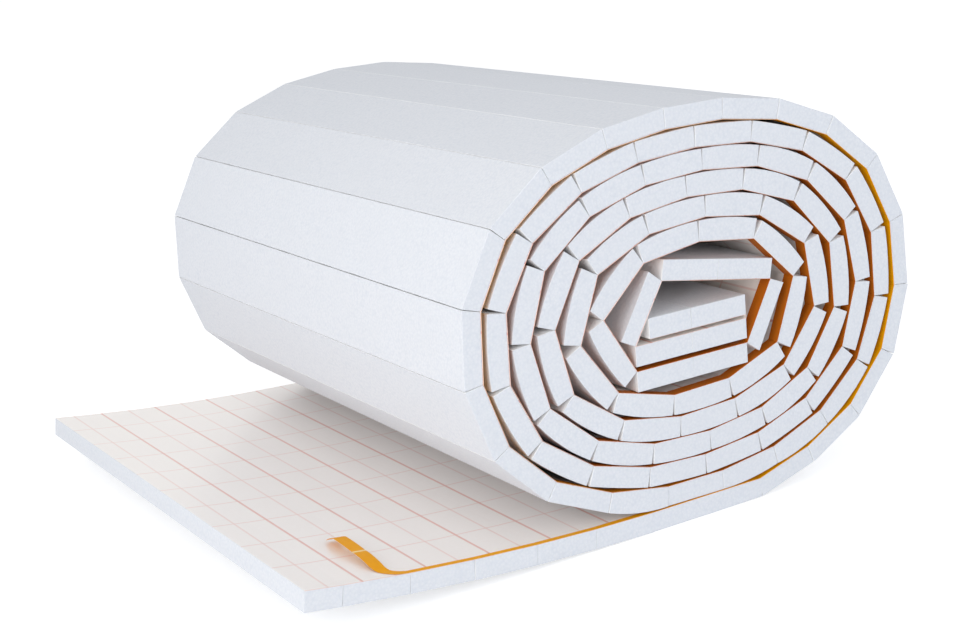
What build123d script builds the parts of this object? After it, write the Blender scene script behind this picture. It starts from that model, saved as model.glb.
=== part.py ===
from build123d import *
import math
import os

# Rolled underfloor insulation: a sheet of white foam slats on a printed facing film,
# wound film side in to a flattened roll that lies on its side, its outer end let down
# on the floor as a short flap. X runs along the sheet, the flap towards -X, Y runs
# along the roll's axis, Z is up. The origin is on the floor under the middle of it all.

# The sheet, in millimetres
SHEET_WIDTH = 1000.0
SLAT_PITCH = 100.0
SLAT_THICKNESS = 30.0
SAW_KERF = 1.5
FILM_THICKNESS = 0.4

# The self-adhesive strip along the near edge of the film, on its bare side. It begins
# this many slats out from the fold. Its outer end has come unstuck: it is folded square
# across the film, rises off it to a crease and comes down again to its tip.
STRIP_WIDTH = 20.0
STRIP_THICKNESS = 0.3
BARE_SLATS = 4
STRIP_SHORT_OF_END = 112.0
TAIL_TO_CREASE = 65.0
CREASE_TO_CURL = 60.0
CURL_TO_TIP = 20.0
CREASE_RISE = 9.0
CURL_RISE = 12.0
TIP_RISE = 3.0

# How close one turn lies to the next, and the bends that the straight slats cut across
LAY_CLEARANCE = 0.3
FLAT_BEND_RADIUS = 535.0
SIDE_BEND_RADIUS = 141.0

# The folded core, with the slats' leans in degrees anticlockwise from +X
FOLD_GAP = 6.0
CORE_SIDE_LEAN = 58.5
CORE_TOP_LEAN = -10.1
CORE_SAG = 6.0
INNER_END_GAP = 4.0

# The flattened spiral round the core, a squared-off ellipse that grows by the lay of the
# sheet each turn. It starts at an angle in degrees, taken clockwise from -X.
SPIRAL_TURNS = 5.79
SPIRAL_START = -48.0
SQUARENESS = 2.28
CORE_HALF_WIDTH = 163.0
CORE_HALF_HEIGHT = 91.0

# The let-down end: slats flat on the floor, then the flap, which lifts a little at each slat
FLOOR_SLATS = 2
FLAP_SLATS = 5
FLAP_CURL = 1.4
OUTER_END_OFFCUT = 55.0

LINING = FILM_THICKNESS + STRIP_THICKNESS + LAY_CLEARANCE
LAY = SLAT_THICKNESS + LINING

# How finely a slat's far end is looked for along the spiral, in radians and then in
# halvings of that, and how the turns are slackened until they clear each other
SEARCH_STEP = 0.1
HALVINGS = 40
SLACK_STEP = 0.05
SLACK_TRIES = 60


def step(point, lean, length):
    """The point a length further on at a lean in degrees."""
    angle = math.radians(lean)
    return (point[0] + length * math.cos(angle), point[1] + length * math.sin(angle))


def lean_of(start, end):
    return math.degrees(math.atan2(end[1] - start[1], end[0] - start[0]))


def foam_face(start, end):
    """The two corners of a slat's outer face, away from the film."""
    outward = lean_of(start, end) + 90.0
    return [step(start, outward, SLAT_THICKNESS), step(end, outward, SLAT_THICKNESS)]


def outer_corners(hinges):
    corners = []
    for start, end in zip(hinges, hinges[1:]):
        corners += foam_face(start, end)
    return corners


def lay_core():
    """Hinges of the first turn, from the fold outwards, and of the end folded over it."""
    first = [(0.0, 0.0)]
    for lean in (180.0, 180.0, CORE_SIDE_LEAN, CORE_TOP_LEAN, CORE_TOP_LEAN):
        first.append(step(first[-1], lean, SLAT_PITCH))
    drop = first[-1][1] + LAY + CORE_SAG
    down = math.degrees(math.asin(drop / SLAT_PITCH)) - 180.0
    for lean in (down, -180.0, -180.0):
        first.append(step(first[-1], lean, SLAT_PITCH))

    top = step(first[0], 90.0, FOLD_GAP)
    joint = step(top, 180.0, SLAT_PITCH)
    climb = (FOLD_GAP + SLAT_THICKNESS) / math.tan(math.radians(CORE_SIDE_LEAN))
    offcut = joint[0] - (first[2][0] + climb + INNER_END_GAP)
    folded = [step(joint, 180.0, offcut), joint, top]
    return folded, first


def spiral_point(angle, slack):
    """A point of the flattened spiral, clockwise from -X by an angle in radians."""
    turns = angle / math.tau
    side_growth = LAY + slack + SLAT_PITCH ** 2 / (8 * SIDE_BEND_RADIUS)
    flat_growth = LAY + slack + SLAT_PITCH ** 2 / (8 * FLAT_BEND_RADIUS)
    half_width = CORE_HALF_WIDTH + turns * side_growth
    half_height = CORE_HALF_HEIGHT + turns * flat_growth
    across = math.copysign(abs(math.cos(angle)) ** (2 / SQUARENESS), math.cos(angle))
    up = math.copysign(abs(math.sin(angle)) ** (2 / SQUARENESS), math.sin(angle))
    return (-half_width * across, half_height * up)


def lay_spiral(slack):
    """Hinges a slat apart along the spiral."""
    angle = math.radians(SPIRAL_START)
    last = angle + SPIRAL_TURNS * math.tau
    hinges = [spiral_point(angle, slack)]
    while angle < last:
        near, far = angle, angle
        while math.dist(hinges[-1], spiral_point(far, slack)) < SLAT_PITCH:
            near, far = far, far + SEARCH_STEP
        for halving in range(HALVINGS):
            middle = (near + far) / 2
            if math.dist(hinges[-1], spiral_point(middle, slack)) < SLAT_PITCH:
                near = middle
            else:
                far = middle
        angle = far
        hinges.append(spiral_point(angle, slack))
    return hinges


def tightest_gap(hinges, fold):
    """The least room between any slat's film and the foam of the turn inside it."""
    corners = []
    least = SLAT_PITCH
    for index, (start, end) in enumerate(zip(hinges, hinges[1:])):
        lean = math.radians(lean_of(start, end))
        for x, z in corners[:-2]:
            along = (x - start[0]) * math.cos(lean) + (z - start[1]) * math.sin(lean)
            inward = (x - start[0]) * math.sin(lean) - (z - start[1]) * math.cos(lean)
            if 0.0 < along < math.dist(start, end) and abs(inward) < SLAT_THICKNESS:
                least = min(least, inward)
        if index != fold:
            corners += foam_face(start, end)
    return least


def lay_sheet():
    """The sheet's hinges on the foam side of its film, inner end first."""
    folded, first = lay_core()
    fold = len(folded) - 1
    for tries in range(SLACK_TRIES):
        spiral = lay_spiral(tries * SLACK_STEP)
        shift_x = spiral[0][0] - first[-1][0]
        shift_z = spiral[0][1] - first[-1][1]
        core = [(x + shift_x, z + shift_z) for x, z in folded + first]
        hinges = core + spiral[1:]
        if tightest_gap(hinges, fold) >= LINING:
            break

    lowest = min(z for x, z in outer_corners(hinges[:-2]))
    floor_level = min(lowest - LINING, hinges[-1][1])
    drop = hinges[-1][1] - floor_level
    landing = math.degrees(math.asin(drop / SLAT_PITCH)) - 180.0
    leans = [landing] + [-180.0] * FLOOR_SLATS
    leans += [-180.0 - FLAP_CURL * (count + 1) for count in range(FLAP_SLATS)]
    for lean in leans:
        hinges.append(step(hinges[-1], lean, SLAT_PITCH))
    hinges.append(step(hinges[-1], leans[-1] - FLAP_CURL, OUTER_END_OFFCUT))

    outline = hinges + outer_corners(hinges)
    middle = (min(x for x, z in outline) + max(x for x, z in outline)) / 2
    floor = floor_level - SLAT_THICKNESS
    return [(x - middle, z - floor) for x, z in hinges], fold


def band(path, near_side, far_side):
    """The outline of a thin band that follows a path, between two depths on its inner side."""
    runs = [lean_of(start, end) for start, end in zip(path, path[1:])]
    edges = []
    for depth in (near_side, far_side):
        edge = []
        for point, coming, going in zip(path, [runs[0]] + runs, runs + [runs[-1]]):
            half_turn = (coming - going) % 360.0 / 2
            mitre = depth / math.cos(math.radians(half_turn))
            edge.append(step(point, coming - half_turn - 90.0, mitre))
        edges.append(edge)
    return edges[0] + edges[1][::-1]


def extruded(outline, near_y, far_y):
    """An outline in X and Z made solid between two places along the roll."""
    corners = [Vector(x, near_y, z) for x, z in outline]
    face = make_face(Polyline(*corners, close=True))
    return extrude(face, amount=far_y - near_y, dir=(0, 1, 0))


def slat(start, end, near_cut, far_cut):
    """One foam slat, cut back at each end by its share of the kerf."""
    lean = lean_of(start, end)
    foot = step(start, lean, near_cut)
    toe = step(end, lean + 180.0, far_cut)
    return extruded([foot, toe] + foam_face(foot, toe)[::-1], NEAR, FAR)


def slat_node(index, turned):
    """The name of the group that a slat belongs to."""
    if index < FOLD:
        return "slats_folded_end"
    if index >= LAST - FLAP_SLATS:
        return "slats_flap"
    if index >= LAST - FLAP_SLATS - FLOOR_SLATS:
        return "slats_on_floor"
    return f"slats_turn_{int(turned // 360) + 1}"


def strip_path():
    """The strip's way along the film, from the middle of a slat to its fold on the flap."""
    first = FOLD + BARE_SLATS
    starts = step(HINGES[first], lean_of(HINGES[first], HINGES[first + 1]), SLAT_PITCH / 2)
    short = STRIP_SHORT_OF_END - OUTER_END_OFFCUT
    folds = step(HINGES[-2], lean_of(HINGES[-2], HINGES[-3]), short)
    return [starts] + HINGES[first + 1:-2] + [folds]


def strip_tail(last_bend, folds):
    """The loose end, folded back over the strip and turned across the film."""
    lean = lean_of(folds, last_bend)
    lies_on = step(folds, lean + 90.0, FILM_THICKNESS + STRIP_THICKNESS)
    across = Plane(
        origin=(lies_on[0], NEAR, lies_on[1]),
        x_dir=(0, 1, 0),
        z_dir=(math.cos(math.radians(lean)), 0, math.sin(math.radians(lean))),
    )
    crease = STRIP_WIDTH + TAIL_TO_CREASE
    curl = crease + CREASE_TO_CURL
    path = [
        (0.0, 0.0),
        (STRIP_WIDTH, 0.0),
        (crease, CREASE_RISE),
        (curl, CURL_RISE),
        (curl + CURL_TO_TIP, TIP_RISE),
    ]
    outline = [across.from_local_coords((y, z, 0)) for y, z in band(path, 0.0, -STRIP_THICKNESS)]
    return extrude(make_face(Polyline(*outline, close=True)), amount=STRIP_WIDTH, dir=across.z_dir)


HINGES, FOLD = lay_sheet()
LAST = len(HINGES) - 2
NEAR = -SHEET_WIDTH / 2
FAR = SHEET_WIDTH / 2
CUT = SAW_KERF / 2

groups = {}
turned = 0.0
for index, (start, end) in enumerate(zip(HINGES, HINGES[1:])):
    if index > FOLD + 1:
        turned += (lean_of(HINGES[index - 1], start) - lean_of(start, end)) % 360.0
    if index != FOLD:
        near_cut = CUT if index else 0.0
        far_cut = CUT if index < LAST else 0.0
        piece = slat(start, end, near_cut, far_cut)
        groups.setdefault(slat_node(index, turned), []).append(piece)

nodes = {name: Compound(children=pieces) for name, pieces in groups.items()}
nodes["facing_film"] = extruded(band(HINGES, 0.0, FILM_THICKNESS), NEAR, FAR)
path = strip_path()
strip = band(path, FILM_THICKNESS, FILM_THICKNESS + STRIP_THICKNESS)
nodes["edge_strip"] = extruded(strip, NEAR, NEAR + STRIP_WIDTH) + strip_tail(*path[-2:])

os.makedirs("parts", exist_ok=True)
for name, shape in nodes.items():
    export_step(shape, f"parts/{name}.step")
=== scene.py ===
import math
import random

import bmesh
import bpy
from mathutils import Matrix, Vector, noise


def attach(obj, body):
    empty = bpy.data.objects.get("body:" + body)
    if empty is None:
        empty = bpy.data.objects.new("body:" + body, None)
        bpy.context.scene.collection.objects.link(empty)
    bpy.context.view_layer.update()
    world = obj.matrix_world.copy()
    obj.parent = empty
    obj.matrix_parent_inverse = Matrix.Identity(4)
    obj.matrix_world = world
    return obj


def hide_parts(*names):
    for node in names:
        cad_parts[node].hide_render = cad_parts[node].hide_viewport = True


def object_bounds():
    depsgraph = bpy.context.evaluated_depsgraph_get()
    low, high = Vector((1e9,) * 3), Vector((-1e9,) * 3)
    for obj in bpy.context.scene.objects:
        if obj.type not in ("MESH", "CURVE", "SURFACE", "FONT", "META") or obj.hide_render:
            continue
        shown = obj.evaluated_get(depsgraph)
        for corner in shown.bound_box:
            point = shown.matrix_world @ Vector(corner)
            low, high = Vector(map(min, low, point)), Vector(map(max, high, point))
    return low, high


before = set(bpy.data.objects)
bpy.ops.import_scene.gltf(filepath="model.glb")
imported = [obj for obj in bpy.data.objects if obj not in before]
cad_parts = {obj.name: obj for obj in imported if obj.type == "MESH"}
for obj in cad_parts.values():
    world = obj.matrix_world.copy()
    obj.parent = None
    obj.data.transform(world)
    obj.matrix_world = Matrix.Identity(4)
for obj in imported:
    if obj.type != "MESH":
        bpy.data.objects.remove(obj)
cad_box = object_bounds()

# Facing film. A thin plastic film, printed with a grid by which the heating pipe is laid
# out. It is glued to the whole face of the board and left uncut where the slats part.
FILM_THICKNESS = 0.0004
GRID = 0.100
FIRST_LINE = 0.083
LINE_WIDTH_MM = 3.6
FAINT_WIDTH_MM = 3.0
LINE_CORE = 0.3
LINE_FADE = 0.7
MOTTLE_MM = 6.25
WELD = 1e-5
FLAT_WITHIN = math.radians(0.4)
NEAR_FACING = -0.9
SHORT_EDGE = 1.5 * FILM_THICKNESS


def linear(code):
    """An sRGB hex colour as the linear colour that a shader takes."""
    parts = [int(code[i : i + 2], 16) / 255 for i in (1, 3, 5)]
    return [p / 12.92 if p <= 0.04045 else ((p + 0.055) / 1.055) ** 2.4 for p in parts] + [1.0]


def add_node(owner, kind, settings=None, **inputs):
    """Adds a node, sets its properties, and fills or links its inputs by name or number."""
    node = owner.node_tree.nodes.new(kind)
    for key, value in (settings or {}).items():
        setattr(node, key, value)
    for key, value in inputs.items():
        name = int(key[1:]) if key[1:].isdigit() else key.replace("_", " ")
        if isinstance(value, bpy.types.NodeSocket):
            owner.node_tree.links.new(value, node.inputs[name])
        else:
            node.inputs[name].default_value = value
    return node


def new_material(name, **principled):
    """A material with a bare Principled shader, and that shader."""
    material = bpy.data.materials.new(name)
    material.use_nodes = True
    shader = material.node_tree.nodes["Principled BSDF"]
    for key, value in principled.items():
        shader.inputs[key.replace("_", " ")].default_value = value
    return material, shader


def copy_of_solid(node, name):
    """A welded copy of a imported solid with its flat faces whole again."""
    bpy.ops.object.select_all(action="DESELECT")
    piece = bpy.data.objects.new(name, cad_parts[node].data.copy())
    piece.data.name = name
    piece.data.materials.clear()
    bpy.context.scene.collection.objects.link(piece)
    bpy.context.view_layer.objects.active = piece
    piece.select_set(True)
    bpy.ops.mesh.customdata_custom_splitnormals_clear()
    bpy.ops.object.mode_set(mode="EDIT")
    bpy.ops.mesh.select_all(action="SELECT")
    bpy.ops.mesh.remove_doubles(threshold=WELD)
    bpy.ops.mesh.dissolve_limited(angle_limit=FLAT_WITHIN)
    bpy.ops.object.mode_set(mode="OBJECT")
    return piece


def band_sides(node):
    """The foam side and the bare side of the film's section, from its outer end inwards."""
    solid = copy_of_solid(node, "section")
    mesh = bmesh.new()
    mesh.from_mesh(solid.data)
    near_faces = [f for f in mesh.faces if f.normal.y < NEAR_FACING]
    section = max(near_faces, key=lambda f: len(f.verts))
    ring = [Vector((v.co.x, v.co.z)) for v in section.verts]
    mesh.free()
    bpy.data.objects.remove(solid)
    ends = [i for i, p in enumerate(ring) if (p - ring[i - 1]).length < SHORT_EDGE]
    outer = min(ends, key=lambda i: ring[i].x)
    ring = ring[outer:] + ring[:outer]
    half = len(ring) // 2
    sides = ring[:half], ring[half:][::-1]
    return sorted(sides, key=lambda side: side[0].y)


def lay_band(name, stations):
    """A thin closed band through stations: reach, foam side, bare side, near and far edge."""
    mesh = bmesh.new()
    unrolled = mesh.loops.layers.uv.new("unrolled")
    rows = []
    reach_of = {}
    for reach, under, over, near, far in stations:
        corners = ((under, near), (under, far), (over, far), (over, near))
        rows.append([mesh.verts.new((p.x, y, p.y)) for p, y in corners])
        reach_of.update((vert, reach) for vert in rows[-1])
    for row, following in zip(rows, rows[1:]):
        for k in range(4):
            j = (k + 1) % 4
            mesh.faces.new((row[k], row[j], following[j], following[k]))
    mesh.faces.new(rows[0])
    mesh.faces.new(rows[-1])
    bmesh.ops.recalc_face_normals(mesh, faces=mesh.faces)
    for face in mesh.faces:
        for loop in face.loops:
            loop[unrolled].uv = (reach_of[loop.vert], loop.vert.co.y - near_edge)
    data = bpy.data.meshes.new(name)
    mesh.to_mesh(data)
    mesh.free()
    piece = bpy.data.objects.new(name, data)
    bpy.context.scene.collection.objects.link(piece)
    return piece


near_edge, far_edge = cad_box[0].y, cad_box[1].y
foam_side, bare_side = band_sides("facing_film")
reaches = [0.0]
for point, following in zip(foam_side, foam_side[1:]):
    reaches.append(reaches[-1] + (following - point).length)
film = lay_band(
    "printed_film",
    [(s, a, b, near_edge, far_edge) for s, a, b in zip(reaches, foam_side, bare_side)],
)

# Polythene film, printed: a warm white with a soft sheen and a faint mottle, and thin
# brick-red lines a hundred millimetres apart with fainter ones between them.
print_film, film_shader = new_material(
    "printed polythene facing film",
    Roughness=0.36,
    Specular_IOR_Level=0.6,
    IOR=1.5,
    Coat_Weight=0.6,
    Coat_Roughness=0.22,
)
unrolled = add_node(print_film, "ShaderNodeUVMap", {"uv_map": "unrolled"}).outputs["UV"]
axes = add_node(print_film, "ShaderNodeSeparateXYZ", Vector=unrolled)


def printed_line(coordinate, offset, spacing, width_mm):
    """One where a printed line runs, softened at its edges."""
    moved = add_node(
        print_film, "ShaderNodeMath", {"operation": "SUBTRACT"}, _0=coordinate, _1=offset
    )
    off_line = add_node(
        print_film,
        "ShaderNodeMath",
        {"operation": "PINGPONG"},
        _0=moved.outputs[0],
        _1=spacing / 2,
    )
    return add_node(
        print_film,
        "ShaderNodeMapRange",
        _0=off_line.outputs[0],
        _1=width_mm * LINE_CORE / 1000,
        _2=width_mm * LINE_FADE / 1000,
        _3=1.0,
        _4=0.0,
    ).outputs[0]


strong = printed_line(axes.outputs["X"], FIRST_LINE, GRID, LINE_WIDTH_MM)
halfway = printed_line(axes.outputs["X"], FIRST_LINE - GRID / 2, GRID, FAINT_WIDTH_MM)
lengthwise = printed_line(axes.outputs["Y"], 0.0, GRID, FAINT_WIDTH_MM)
mottle = add_node(
    print_film, "ShaderNodeTexNoise", Vector=unrolled, Scale=1000 / MOTTLE_MM, Detail=2.0
)
tint = add_node(
    print_film,
    "ShaderNodeMix",
    {"data_type": "RGBA"},
    _0=mottle.outputs["Fac"],
    _6=linear("#FBF3ED"),
    _7=linear("#FEF9F4"),
).outputs[2]
for mask, strength, ink in (
    (lengthwise, 0.65, "#F0CCC2"),
    (halfway, 0.65, "#F0CCC2"),
    (strong, 0.9, "#E8AC9E"),
):
    amount = add_node(
        print_film, "ShaderNodeMath", {"operation": "MULTIPLY"}, _0=mask, _1=strength
    )
    tint = add_node(
        print_film,
        "ShaderNodeMix",
        {"data_type": "RGBA"},
        _0=amount.outputs[0],
        _6=tint,
        _7=linear(ink),
    ).outputs[2]
print_film.node_tree.links.new(tint, film_shader.inputs["Base Color"])
film.data.materials.append(print_film)
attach(film, "root")
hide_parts("facing_film")

# Foam slats. Each is a plank of white expanded polystyrene, one of a hundred or so sawn
# from one board that is already glued to the film, so they stay in line and the sheet
# rolls up. The saw leaves square arrises that crumble bead by bead.
SLAT_DEPTH = 0.030
LONG_EDGE = 0.5
LEVEL = 0.001
KERF_CLOSED = 0.0006
END_SCATTER = 0.0012

# How far the roll presses the slats' outer arrises together, tightest in the outer turn,
# and how far their outer faces bow out into the room that the next turn leaves them
SKIN_REACH = 3.05
UNDER_SKIN_REACH = 5.0
GAP_CLOSED = 0.55
SKIN_GAP_CLOSED = 0.94
MOST_PRESSED = 0.0045
SKIN_MOST_PRESSED = 0.009
CROWN_POINTS = 5
CROWN_REACH = 0.016
CROWN = 0.9
CROWN_UNDER_SKIN = 0.3
MOST_CROWN = 0.005
TAPE_ROOM = 0.0008
PARALLEL = 1e-9

# How worn the arrises are, most in the outer turns, and how finely they crumble
ARRIS_WEAR = 0.0004
SKIN_WEAR = 0.0009
ARRIS_ANGLE = math.radians(60)
WEAR_STEPS = 32
CRUMB = 0.0005
CRUMB_LENGTH = 0.011
FINER = 3
FINER_CRUMB = 0.5
WALL_FACING = 0.5
SMOOTH_WITHIN = math.radians(50)
SLAT_GROUPS = [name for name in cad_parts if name.startswith("slats_")]
OUTER_TURNS = sorted(name for name in SLAT_GROUPS if name.startswith("slats_turn_"))[-2:]


def loose_parts(mesh):
    """The vertices of a bmesh, gathered into its separate slats in the mesh's own order."""
    seen = set()
    parts = []
    for first in mesh.verts:
        if first in seen:
            continue
        seen.add(first)
        part = [first]
        for vert in part:
            for edge in vert.link_edges:
                other = edge.other_vert(vert)
                if other not in seen:
                    seen.add(other)
                    part.append(other)
        parts.append(part)
    return parts


def middle_of(part):
    """The middle of a slat's vertices."""
    return sum((v.co for v in part), Vector()) / len(part)


def lies_in_end(edge):
    """Whether an edge lies in the sawn end of a slat and doesn't run along it."""
    return abs(edge.verts[0].co.y - edge.verts[1].co.y) < LEVEL


def run_of(part):
    """The way the sheet runs at a slat: along the longest edge of its section."""
    edges = [edge for vert in part for edge in vert.link_edges if lies_in_end(edge)]
    longest = max(edges, key=lambda e: e.calc_length())
    return (longest.verts[1].co - longest.verts[0].co).normalized()


def heading_of(stretch):
    """The way the film runs from one bend to the next, and the way from it to the foam."""
    run = (foam_side[stretch + 1] - foam_side[stretch]).normalized()
    return run, Vector((run.y, -run.x))


def stretch_of_slat(corners):
    """Which stretch of film, between two bends, a slat is glued to."""
    return min(
        range(len(foam_side) - 1),
        key=lambda i: sum(min((c - foam_side[k]).length for c in corners) for k in (i, i + 1)),
    )


def mouth(from_stretch, to_stretch):
    """From a slat's outer arris to its neighbour's, across the gap at their bend."""
    lengths = [(foam_side[k + 1] - foam_side[k]).length for k in (from_stretch, to_stretch)]
    if min(lengths) < SLAT_DEPTH:
        return Vector((0.0, 0.0))
    away = (heading_of(to_stretch)[1] - heading_of(from_stretch)[1]) * SLAT_DEPTH
    onward = heading_of(from_stretch)[0] * (to_stretch - from_stretch)
    return away if away.dot(onward) > 0 else Vector((0.0, 0.0))


def room_above(place, up):
    """How far off the next turn's film is, or zero where no turn lies close."""
    nearest = CROWN_REACH
    for a, b in zip(bare_side, bare_side[1:]):
        along = b - a
        across = up.x * along.y - up.y * along.x
        if abs(across) < PARALLEL:
            continue
        off = a - place
        distance = (off.x * along.y - off.y * along.x) / across
        part = (off.x * up.y - off.y * up.x) / across
        if 0.0 <= part <= 1.0 and 0.0 < distance < nearest:
            nearest = distance
    return nearest if nearest < CROWN_REACH else 0.0


def press_slat(part):
    """Sets a slat's ends a little out of line and presses its outer arrises towards its
    neighbours'. Gives the edges of its outer face, the way that face looks and its crown."""
    near = random.uniform(0.0, END_SCATTER)
    far = random.uniform(0.0, END_SCATTER)
    run = run_of(part)
    middle = middle_of(part)
    stretch = stretch_of_slat([Vector((v.co.x, v.co.z)) for v in part if v.co.y < 0])
    up = heading_of(stretch)[1]
    in_skin = reaches[stretch] < SKIN_REACH
    closed = SKIN_GAP_CLOSED if in_skin else GAP_CLOSED
    most_pressed = SKIN_MOST_PRESSED if in_skin else MOST_PRESSED
    under_skin = not in_skin and reaches[stretch] < UNDER_SKIN_REACH
    outer = []
    for vert in part:
        place = Vector((vert.co.x, vert.co.z))
        if (place - foam_side[stretch]).dot(up) > SLAT_DEPTH / 2:
            outer.append(vert)
            bend = min((stretch, stretch + 1), key=lambda k: (place - foam_side[k]).length)
            beyond = stretch - 1 if bend == stretch else stretch + 1
            if 0 <= beyond < len(foam_side) - 1:
                move = mouth(stretch, beyond) * closed / 2
                if move.length > most_pressed:
                    move *= most_pressed / move.length
                vert.co += Vector((move.x, 0.0, move.y))
        vert.co += run * math.copysign(KERF_CLOSED, (vert.co - middle).dot(run))
        vert.co.y += near if vert.co.y < 0 else -far
    edges = dict.fromkeys(edge for vert in outer for edge in vert.link_edges)
    face_edges = [e for e in edges if all(v in outer for v in e.verts) and lies_in_end(e)]
    return face_edges, up, CROWN_UNDER_SKIN if under_skin else CROWN


def crown_slats(mesh, pressed_slats):
    """Bows the slats' outer faces out, as far as the film of the next turn leaves room."""
    face_edges = []
    arcs = []
    for edges, up, crown in pressed_slats:
        face_edges += edges
        arcs += [(e.verts[0].co.copy(), e.verts[1].co.copy(), up, crown) for e in edges]
    cut = bmesh.ops.subdivide_edges(
        mesh, edges=face_edges, cuts=CROWN_POINTS, use_grid_fill=True
    )
    fresh = [v for v in cut["geom_inner"] if isinstance(v, bmesh.types.BMVert)]
    for start, end, up, crown in arcs:
        line = end - start
        arches = []
        for vert in fresh:
            part = (vert.co - start).dot(line) / line.length_squared
            if 0.0 < part < 1.0 and (start + line * part - vert.co).length < WELD:
                room = room_above(Vector((vert.co.x, vert.co.z)), up)
                arches.append((vert, 4 * part * (1 - part), room))
        highest = [max(0.0, room - TAPE_ROOM) / arch for vert, arch, room in arches if room]
        height = min(MOST_CROWN, crown * min(highest)) if highest else 0.0
        for vert, arch, room in arches:
            vert.co += Vector((up.x, 0.0, up.y)) * height * arch


def subdivide_lengthwise(piece):
    """Divides the edges that run along the slats, so that they can crumble unevenly."""
    bpy.ops.object.mode_set(mode="EDIT")
    bpy.ops.mesh.select_mode(type="EDGE")
    bpy.ops.mesh.select_all(action="DESELECT")
    bpy.ops.object.mode_set(mode="OBJECT")
    for edge in piece.data.edges:
        near, far = (piece.data.vertices[i].co.y for i in edge.vertices)
        edge.select = abs(near - far) > LONG_EDGE
    bpy.ops.object.mode_set(mode="EDIT")
    bpy.ops.mesh.subdivide(number_cuts=WEAR_STEPS)
    bpy.ops.object.mode_set(mode="OBJECT")


def crumble_slat_and_mark_gap_light(part, sawn):
    """Marks the walls that the saw left within the roll, for painted light, and wears the slat
    unevenly.
    """
    middle = middle_of(part)
    run = run_of(part)
    for face in {face for vert in part for face in vert.link_faces}:
        in_gap = face.calc_center_median().x > cad_box[0].x + SLAT_DEPTH
        face[sawn] = 1.0 if in_gap and abs(face.normal.dot(run)) > WALL_FACING else 0.0
    for vert in part:
        inward = middle - vert.co
        inward.y = 0.0
        coarse = vert.co / CRUMB_LENGTH
        crumb = noise.noise(coarse) + FINER_CRUMB * noise.noise(coarse * FINER)
        vert.co += inward.normalized() * CRUMB * max(0.0, crumb)


def saw_slats(piece, wear):
    """Presses and crowns a group of slats as the roll does, and breaks their arrises down."""
    mesh = bmesh.new()
    mesh.from_mesh(piece.data)
    crown_slats(mesh, [press_slat(part) for part in loose_parts(mesh)])
    mesh.to_mesh(piece.data)
    mesh.free()

    worn = piece.modifiers.new("worn arris", "BEVEL")
    worn.width = wear
    worn.segments = 2
    worn.limit_method = "ANGLE"
    worn.angle_limit = ARRIS_ANGLE
    bpy.ops.object.modifier_apply(modifier=worn.name)
    subdivide_lengthwise(piece)

    mesh = bmesh.new()
    mesh.from_mesh(piece.data)
    # The walls within the gaps are marked for painted light, a whiter colour in the shader.
    sawn = mesh.faces.layers.float.new("painted gap light")
    for part in loose_parts(mesh):
        crumble_slat_and_mark_gap_light(part, sawn)
    mesh.to_mesh(piece.data)
    mesh.free()
    bpy.ops.object.shade_smooth_by_angle(angle=SMOOTH_WITHIN)
    even = piece.modifiers.new("even faces", "WEIGHTED_NORMAL")
    even.keep_sharp = True
    bpy.ops.object.modifier_apply(modifier=even.name)


# Expanded polystyrene, steam-moulded in a block and cut by saw: a dead matt bluish white,
# with the beads' outlines and their dimples just seen on every cut face. The walls within
# the gaps are painted a little whiter: painted light for the light that they pass on to each
# other.
BEAD_MM = 4.2
BEAD_DIMPLE = 0.0006
BLOTCH_MM = 90.0
BLOTCH_FROM = 0.3
BLOTCH_TO = 0.7
BLOTCH_STRENGTH = 0.35
foam, foam_shader = new_material(
    "expanded polystyrene, sawn",
    Roughness=0.85,
    Specular_IOR_Level=0.25,
    IOR=1.45,
)
foam_place = add_node(foam, "ShaderNodeTexCoord").outputs["Object"]
beads = add_node(
    foam, "ShaderNodeTexVoronoi", {"feature": "F1"}, Vector=foam_place, Scale=1000 / BEAD_MM
)
blotches = add_node(
    foam, "ShaderNodeTexNoise", Vector=foam_place, Scale=1000 / BLOTCH_MM, Detail=3.0
)
bead_shade = add_node(
    foam,
    "ShaderNodeMix",
    {"data_type": "RGBA"},
    _0=beads.outputs["Distance"],
    _6=linear("#E9EBEF"),
    _7=linear("#DCE0E7"),
)
blotched = add_node(
    foam,
    "ShaderNodeMapRange",
    _0=blotches.outputs["Fac"],
    _1=BLOTCH_FROM,
    _2=BLOTCH_TO,
    _3=0.0,
    _4=BLOTCH_STRENGTH,
)
foam_colour = add_node(
    foam,
    "ShaderNodeMix",
    {"data_type": "RGBA"},
    _0=blotched.outputs[0],
    _6=bead_shade.outputs[2],
    _7=linear("#E1E4E9"),
)
bead_bump = add_node(
    foam,
    "ShaderNodeBump",
    {"invert": True},
    Strength=0.35,
    Distance=BEAD_DIMPLE,
    Height=beads.outputs["Distance"],
)
# Painted light: the walls within the gaps are painted near-white, for the light that they pass
# on to each other.
gap_light_mark = add_node(foam, "ShaderNodeAttribute", {"attribute_name": "painted gap light"})
gap_lit_colour = add_node(
    foam,
    "ShaderNodeMix",
    {"data_type": "RGBA"},
    _0=gap_light_mark.outputs["Fac"],
    _6=foam_colour.outputs[2],
    _7=linear("#F9FAFB"),
)
foam.node_tree.links.new(gap_lit_colour.outputs[2], foam_shader.inputs["Base Color"])
foam.node_tree.links.new(bead_bump.outputs["Normal"], foam_shader.inputs["Normal"])

random.seed(4)
for group in SLAT_GROUPS:
    slats = copy_of_solid(group, group.replace("slats", "foam"))
    saw_slats(slats, SKIN_WEAR if group in OUTER_TURNS else ARRIS_WEAR)
    slats.data.materials.append(foam)
    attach(slats, "root")
    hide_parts(group)

# Edge strip. A golden self-adhesive tape laid along the near edge of the film, by which
# the next sheet is joined on. Its outer end has come unstuck, and is turned across the
# film, where it rises to a crease and curls down to its tip.
STRIP_THICKNESS = 0.0003
STRIP_WIDTH = 0.020
FLAP_STRIP_WIDTH = 0.009
STRIP_NARROWS = (0.50, 0.80)
END_SLACK = 0.001

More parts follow.
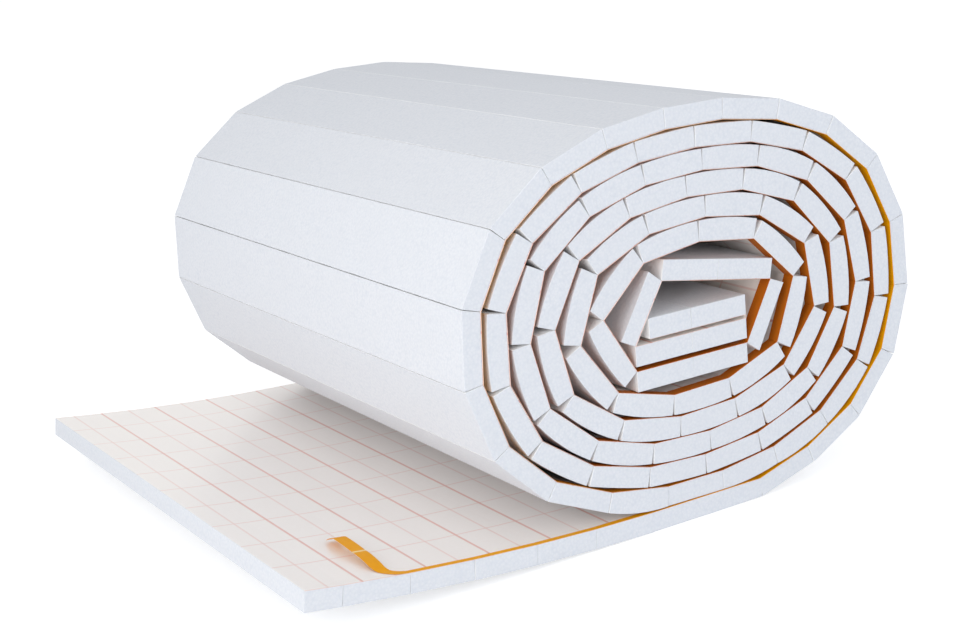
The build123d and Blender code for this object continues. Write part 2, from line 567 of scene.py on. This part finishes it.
# The loose end. Its root and its line are distances from the film's outer end, its turn,
# crease, curl and tip are distances in from the near edge, and it rises above the film.
TAIL_ROOT = 0.150
TAIL_OVERLAP = 0.005
TAIL_LINE = 0.122
TAIL_TURN = 0.036
TAIL_CREASE = 0.085
TAIL_CURL = 0.140
TAIL_TIP = 0.165
TAIL_LIFT = 2 * STRIP_THICKNESS
CREASE_RISE = 0.009
CURL_RISE = 0.0115
TIP_RISE = 0.003
TAIL_CELLS_ALONG = 72
TAIL_CELLS_ACROSS = 4
TAIL_SMOOTH_WITHIN = math.radians(40)


def at_reach(side, reach):
    """The place on one side of the film at a distance from its outer end."""
    index = max(i for i, r in enumerate(reaches[:-1]) if r <= reach)
    part = (reach - reaches[index]) / (reaches[index + 1] - reaches[index])
    return side[index].lerp(side[index + 1], part)


def strip_width(reach):
    """The tape shows narrow on the flap, and at its full width within the roll."""
    narrow, full = STRIP_NARROWS
    part = min(max((reach - narrow) / (full - narrow), 0.0), 1.0)
    return FLAP_STRIP_WIDTH + (STRIP_WIDTH - FLAP_STRIP_WIDTH) * part


def reach_of_place(place):
    """How far along the film a place on its bare side is, or zero if it is off it."""
    for index, (a, b) in enumerate(zip(bare_side, bare_side[1:])):
        part = (place - a).dot(b - a) / (b - a).length_squared
        on_film = (a.lerp(b, part) - place).length < FILM_THICKNESS / 2
        if on_film and -END_SLACK <= part <= 1.0 + END_SLACK:
            return reaches[index] + part * (reaches[index + 1] - reaches[index])
    return 0.0


strip_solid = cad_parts["edge_strip"].data
strip_end = max(reach_of_place(Vector((v.co.x, v.co.z))) for v in strip_solid.vertices)
bends = [reach for reach in reaches if TAIL_ROOT < reach < strip_end]
stations = []
for reach in [TAIL_ROOT - TAIL_OVERLAP] + bends + [strip_end]:
    under = at_reach(bare_side, reach)
    through = under - at_reach(foam_side, reach)
    over = under + through * (STRIP_THICKNESS / FILM_THICKNESS)
    stations.append((reach, under, over, near_edge, near_edge + strip_width(reach)))
strip = lay_band("adhesive_strip", stations)

# Its loose end, from a flat ribbon that is led round the turn and lifted off the film
bpy.ops.object.select_all(action="DESELECT")
bpy.ops.mesh.primitive_grid_add(
    x_subdivisions=TAIL_CELLS_ALONG, y_subdivisions=TAIL_CELLS_ACROSS, size=1.0
)
tail = bpy.context.object
tail.name = "adhesive_strip_end"
flap_place = at_reach(bare_side, TAIL_ROOT)
flap_run = (at_reach(bare_side, TAIL_LINE) - flap_place).normalized()
flap_up = Vector((-flap_run.y, flap_run.x))
flap_up = flap_up if flap_up.y > 0 else -flap_up
turn_from = Vector((0.0, FLAP_STRIP_WIDTH / 2))
turn_size = Vector((TAIL_ROOT - TAIL_LINE, TAIL_TURN - FLAP_STRIP_WIDTH / 2))
turn_length = turn_size.length
tail_length = turn_length + TAIL_TIP - TAIL_TURN


def tail_line(run):
    """The middle of the tail on the flap, along the sheet and across it, and its heading."""
    if run < turn_length:
        angle = run / turn_length * math.pi / 2
        place = turn_from + Vector(
            (turn_size.x * math.sin(angle), turn_size.y * (1 - math.cos(angle)))
        )
        heading = Vector((turn_size.x * math.cos(angle), turn_size.y * math.sin(angle)))
        return place, heading.normalized()
    return turn_from + turn_size + Vector((0.0, run - turn_length)), Vector((0.0, 1.0))


def tail_rise(across):
    """How high the tail stands off the film at a distance from the near edge."""
    if across < TAIL_CREASE:
        part = max(across - STRIP_WIDTH, 0.0) / (TAIL_CREASE - STRIP_WIDTH)
        return CREASE_RISE * math.sin(part * math.pi / 2)
    if across < TAIL_CURL:
        part = (across - TAIL_CREASE) / (TAIL_CURL - TAIL_CREASE)
        return CREASE_RISE + (CURL_RISE - CREASE_RISE) * math.sin(part * math.pi / 2)
    part = (across - TAIL_CURL) / (TAIL_TIP - TAIL_CURL)
    return TIP_RISE + (CURL_RISE - TIP_RISE) * math.cos(part * math.pi / 2)


for vert in tail.data.vertices:
    run = (vert.co.x + 0.5) * tail_length
    place, heading = tail_line(run)
    grown = min(run / turn_length, 1.0)
    width = FLAP_STRIP_WIDTH + (STRIP_WIDTH - FLAP_STRIP_WIDTH) * grown
    place = place + Vector((heading.y, -heading.x)) * vert.co.y * width
    place.y = max(place.y, 0.0)
    spot = flap_place + flap_run * place.x + flap_up * (tail_rise(place.y) + TAIL_LIFT)
    vert.co = (spot.x, near_edge + place.y, spot.y)
thick = tail.modifiers.new("tape thickness", "SOLIDIFY")
thick.thickness = STRIP_THICKNESS
thick.offset = 0.0
bpy.ops.object.modifier_apply(modifier=thick.name)
bpy.ops.object.mode_set(mode="EDIT")
bpy.ops.mesh.select_all(action="SELECT")
bpy.ops.mesh.normals_make_consistent(inside=False)
bpy.ops.object.mode_set(mode="OBJECT")
bpy.ops.object.shade_smooth_by_angle(angle=TAIL_SMOOTH_WITHIN)

# Polypropylene tape, calendered and coated: golden yellow, faintly streaked, with little
# shine. Deep in the roll it is painted brown, as painted shade, and a painted highlight
# lies as a pale line along the crease across its loose end.
STREAK_MM = 25 / 3
ROLL_SHADE_FROM = 2.2
ROLL_SHADE_TO = 2.8
CREASE_HIGHLIGHT_MM = 2.5
CREASE_HIGHLIGHT_CORE = 0.4
CREASE_HIGHLIGHT_FADE = 1.2
CREASE_HIGHLIGHT_STRENGTH = 0.85
tape, tape_shader = new_material(
    "self-adhesive polypropylene tape", Roughness=0.45, Specular_IOR_Level=0.12, IOR=1.5
)
tape_place = add_node(tape, "ShaderNodeTexCoord").outputs["Object"]
streaks = add_node(
    tape, "ShaderNodeTexNoise", Vector=tape_place, Scale=1000 / STREAK_MM, Detail=2.0
)
tape_colour = add_node(
    tape,
    "ShaderNodeMix",
    {"data_type": "RGBA"},
    _0=streaks.outputs["Fac"],
    _6=linear("#F2A800"),
    _7=linear("#EA9C00"),
).outputs[2]
tape_unrolled = add_node(tape, "ShaderNodeUVMap", {"uv_map": "unrolled"}).outputs["UV"]
tape_reach = add_node(tape, "ShaderNodeSeparateXYZ", Vector=tape_unrolled)
# Painted shade: the tape is painted brown from 2.2 to 2.8 metres in from the film's outer end,
# deep in the roll.
painted_roll_shade = add_node(
    tape,
    "ShaderNodeMapRange",
    _0=tape_reach.outputs["X"],
    _1=ROLL_SHADE_FROM,
    _2=ROLL_SHADE_TO,
    _3=0.0,
    _4=1.0,
)
tape_axes = add_node(tape, "ShaderNodeSeparateXYZ", Vector=tape_place)
# Painted highlight: a pale line is painted along the crease across the loose end.
from_crease = add_node(
    tape,
    "ShaderNodeMath",
    {"operation": "SUBTRACT"},
    _0=tape_axes.outputs["Y"],
    _1=near_edge + TAIL_CREASE,
)
off_crease = add_node(
    tape, "ShaderNodeMath", {"operation": "ABSOLUTE"}, _0=from_crease.outputs[0]
)
crease_highlight = add_node(
    tape,
    "ShaderNodeMapRange",
    _0=off_crease.outputs[0],
    _1=CREASE_HIGHLIGHT_MM * CREASE_HIGHLIGHT_CORE / 1000,
    _2=CREASE_HIGHLIGHT_MM * CREASE_HIGHLIGHT_FADE / 1000,
    _3=CREASE_HIGHLIGHT_STRENGTH,
    _4=0.0,
)
# Painted shade deep in the roll, then the painted highlight along the crease.
for mask, colour in ((painted_roll_shade, "#BC6414"), (crease_highlight, "#F7E7B4")):
    tape_colour = add_node(
        tape,
        "ShaderNodeMix",
        {"data_type": "RGBA"},
        _0=mask.outputs[0],
        _6=tape_colour,
        _7=linear(colour),
    ).outputs[2]
tape.node_tree.links.new(tape_colour, tape_shader.inputs["Base Color"])
for piece in (strip, tail):
    piece.data.materials.append(tape)
    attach(piece, "root")
    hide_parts("edge_strip")

# Floor and backdrop. One sheet of matt white paper, which keeps the roll's soft shadow.
# The camera, and any gloss, sees the paper and the air beyond it as plain white.
FLOOR_SIZE = 40.0
FLOOR_DROP = 0.0005
SEEN_GREY = (0.7, 0.7, 0.7, 1.0)
SEEN_GLOW = 0.6
AIR_LIGHT = 0.63
AIR_COLOUR = (0.97, 0.98, 1.0, 1.0)
WHITE = (1.0, 1.0, 1.0, 1.0)


def in_sight(owner):
    """One for a ray from the camera, or one that gloss or glass has turned."""
    ray = add_node(owner, "ShaderNodeLightPath")
    turned = add_node(
        owner,
        "ShaderNodeMath",
        {"operation": "MAXIMUM"},
        _0=ray.outputs["Is Glossy Ray"],
        _1=ray.outputs["Is Transmission Ray"],
    )
    return add_node(
        owner,
        "ShaderNodeMath",
        {"operation": "MAXIMUM"},
        _0=ray.outputs["Is Camera Ray"],
        _1=turned.outputs[0],
    ).outputs[0]


bpy.ops.object.select_all(action="DESELECT")
bpy.ops.mesh.primitive_plane_add(size=FLOOR_SIZE, location=(0.0, 0.0, -FLOOR_DROP))
floor = bpy.context.object
floor.name = "studio_floor"
paper, paper_shader = new_material(
    "matt white backdrop paper", Roughness=0.95, Base_Color=linear("#F4F5F7")
)
shaded = add_node(paper, "ShaderNodeBsdfDiffuse", Color=SEEN_GREY)
glow = add_node(paper, "ShaderNodeEmission", Color=WHITE, Strength=SEEN_GLOW)
looked_at = add_node(paper, "ShaderNodeAddShader", _0=shaded.outputs[0], _1=glow.outputs[0])
surface = add_node(
    paper,
    "ShaderNodeMixShader",
    _0=in_sight(paper),
    _1=paper_shader.outputs[0],
    _2=looked_at.outputs[0],
)
paper_end = paper.node_tree.nodes["Material Output"]
paper.node_tree.links.new(surface.outputs[0], paper_end.inputs["Surface"])
floor.data.materials.append(paper)

world = bpy.data.worlds.new("studio air")
bpy.context.scene.world = world
world.use_nodes = True
air = world.node_tree.nodes["Background"]
air.inputs["Color"].default_value = AIR_COLOUR
air.inputs["Strength"].default_value = AIR_LIGHT
clear = add_node(world, "ShaderNodeBackground", Color=WHITE, Strength=1.0)
lit = add_node(
    world,
    "ShaderNodeMixShader",
    _0=in_sight(world),
    _1=air.outputs[0],
    _2=clear.outputs[0],
)
world_end = world.node_tree.nodes["World Output"]
world.node_tree.links.new(lit.outputs[0], world_end.inputs["Surface"])

# Lamps. Four large soft boxes: the key on the outer turn from the left, a cooler fill on
# the near end, one above the flap, and a weak one behind. Each has its place, what it
# points at, its power and its colour.
LAMP_SIZE = 2.6
for name, place, aim, power, colour in (
    ("key", (-3.8, -2.3, 1.4), (0.0, 0.0, 0.3), 71.0, (1.0, 0.99, 0.98)),
    ("front fill", (1.6, -4.0, 1.2), (0.2, 0.0, 0.3), 26.0, (0.85, 0.92, 1.0)),
    ("overhead", (-1.9, -0.9, 3.0), (-0.4, -0.1, 0.0), 14.0, (1.0, 0.985, 0.97)),
    ("back fill", (2.6, 3.2, 2.2), (0.0, 0.0, 0.3), 10.0, (1.0, 0.99, 0.98)),
):
    lamp = bpy.data.lights.new(name, "AREA")
    lamp.size = LAMP_SIZE
    lamp.energy = power
    lamp.color = colour
    holder = bpy.data.objects.new(name, lamp)
    bpy.context.scene.collection.objects.link(holder)
    holder.location = place
    holder.rotation_euler = (Vector(aim) - Vector(place)).to_track_quat("-Z", "Y").to_euler()

# Camera. It stands low and to the left of the near end, tipped a little to one side. Its
# angles are in degrees and its focal length is in pixels of the photograph.
CAMERA_PLACE = (-1.358, -2.4139, 0.954)
VIEW_YAW = 30.3
VIEW_DOWN = 14.55
VIEW_ROLL = 4.99
FOCAL_PIXELS = 1741.6
PHOTO_WIDTH = 956
yaw, down, roll = (math.radians(a) for a in (VIEW_YAW, VIEW_DOWN, VIEW_ROLL))
level = Vector((math.cos(yaw), -math.sin(yaw), 0.0))
forward = Vector(
    (math.sin(yaw) * math.cos(down), math.cos(yaw) * math.cos(down), -math.sin(down))
)
right = Matrix.Rotation(roll, 3, forward) @ level
up = right.cross(forward)
turn = Matrix((right, up, -forward)).transposed().to_4x4()
lens = bpy.data.cameras.new("photo view")
lens.lens = FOCAL_PIXELS / PHOTO_WIDTH * lens.sensor_width
camera = bpy.data.objects.new("photo view", lens)
bpy.context.scene.collection.objects.link(camera)
camera.matrix_world = Matrix.Translation(CAMERA_PLACE) @ turn
bpy.context.scene.camera = camera
bpy.context.scene.view_settings.view_transform = "Standard"
